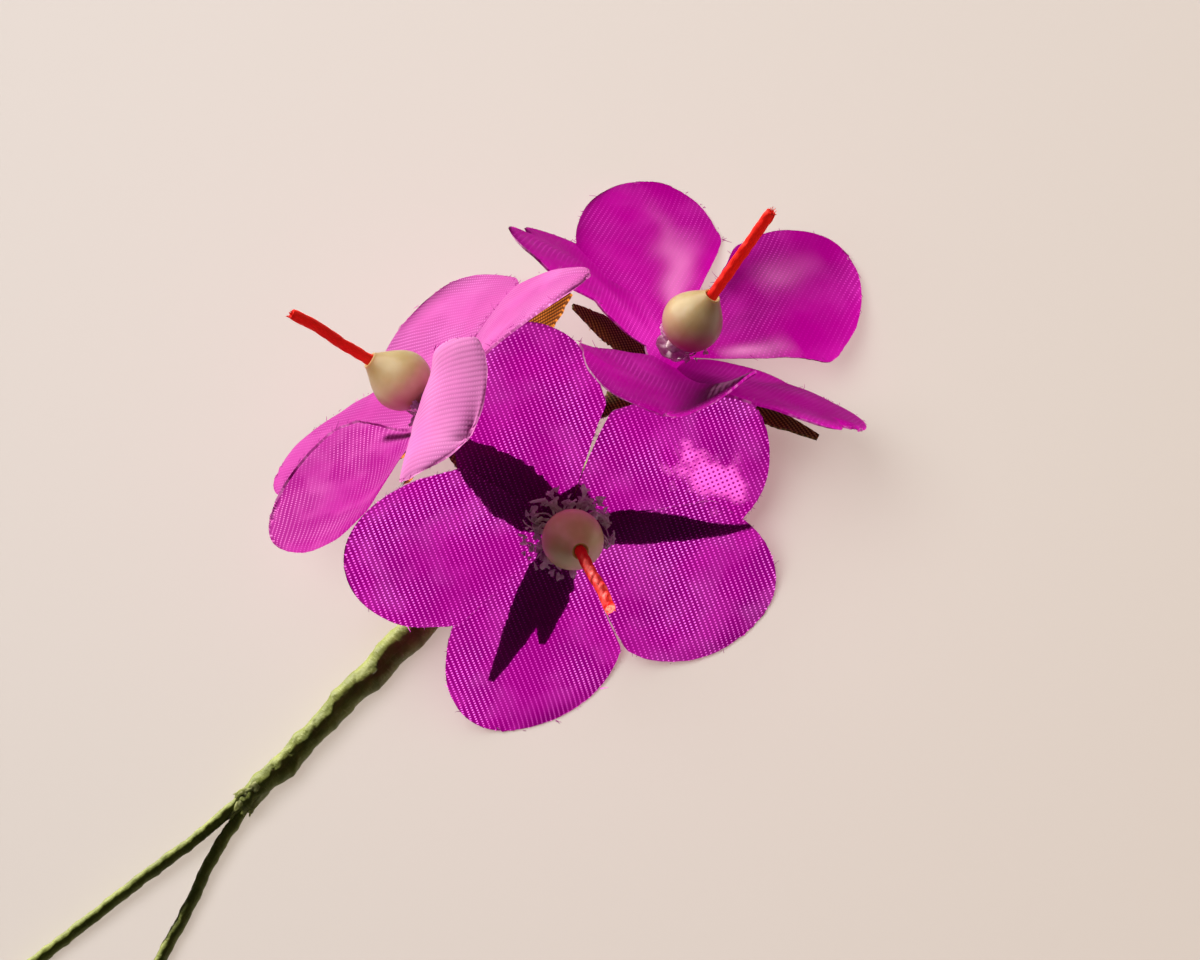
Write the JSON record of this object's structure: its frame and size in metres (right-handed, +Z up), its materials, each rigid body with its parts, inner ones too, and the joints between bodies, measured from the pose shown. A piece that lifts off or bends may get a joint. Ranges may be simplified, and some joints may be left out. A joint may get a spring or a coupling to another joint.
{
  "type": "cranesbill boutonniere",
  "caption": "Small lying spray of artificial magenta fabric blossoms with cream beads and red pistils on green taped wire stems bound together and forking at the foot",
  "frame": {"origin": "bottom centre of the bounding box, on the surface that the spray lies on", "axes": "+X along the bound stem from its wire ends towards the blossoms, +Y across the spray, +Z up from the surface"},
  "size_m": [0.1068, 0.043, 0.0306],
  "materials": {
    "petal_fabric": "dyed plain-woven ribbon fabric, slight sheen",
    "calyx_fabric": "dark green woven ribbon fabric",
    "stamen_film": "translucent pale film",
    "cream_bead": "satin cream with a waxy skin",
    "red_thread": "stiffened twisted red thread",
    "stem_tape": "waxed crepe floral tape, matte",
    "binding_tape": "waxed crepe floral tape in overlapping turns, matte",
    "stem_wire": "plain cut wire"
  },
  "bodies": {
    "root": {"corolla_front": "petal_fabric", "corolla_left": "petal_fabric", "corolla_right": "petal_fabric", "calyx_front": "calyx_fabric", "calyx_left": "calyx_fabric", "calyx_right": "calyx_fabric", "stamens_front": "stamen_film", "stamens_left": "stamen_film", "stamens_right": "stamen_film", "bead_front": "cream_bead", "bead_left": "cream_bead", "bead_right": "cream_bead", "pistil_front": "red_thread", "pistil_left": "red_thread", "pistil_right": "red_thread", "stem_front": "stem_tape", "stem_left": "stem_tape", "stem_right": "stem_tape", "binding_tape": "binding_tape", "wire_end_left": "stem_wire", "wire_end_right": "stem_wire"}
  },
  "joints": []
}
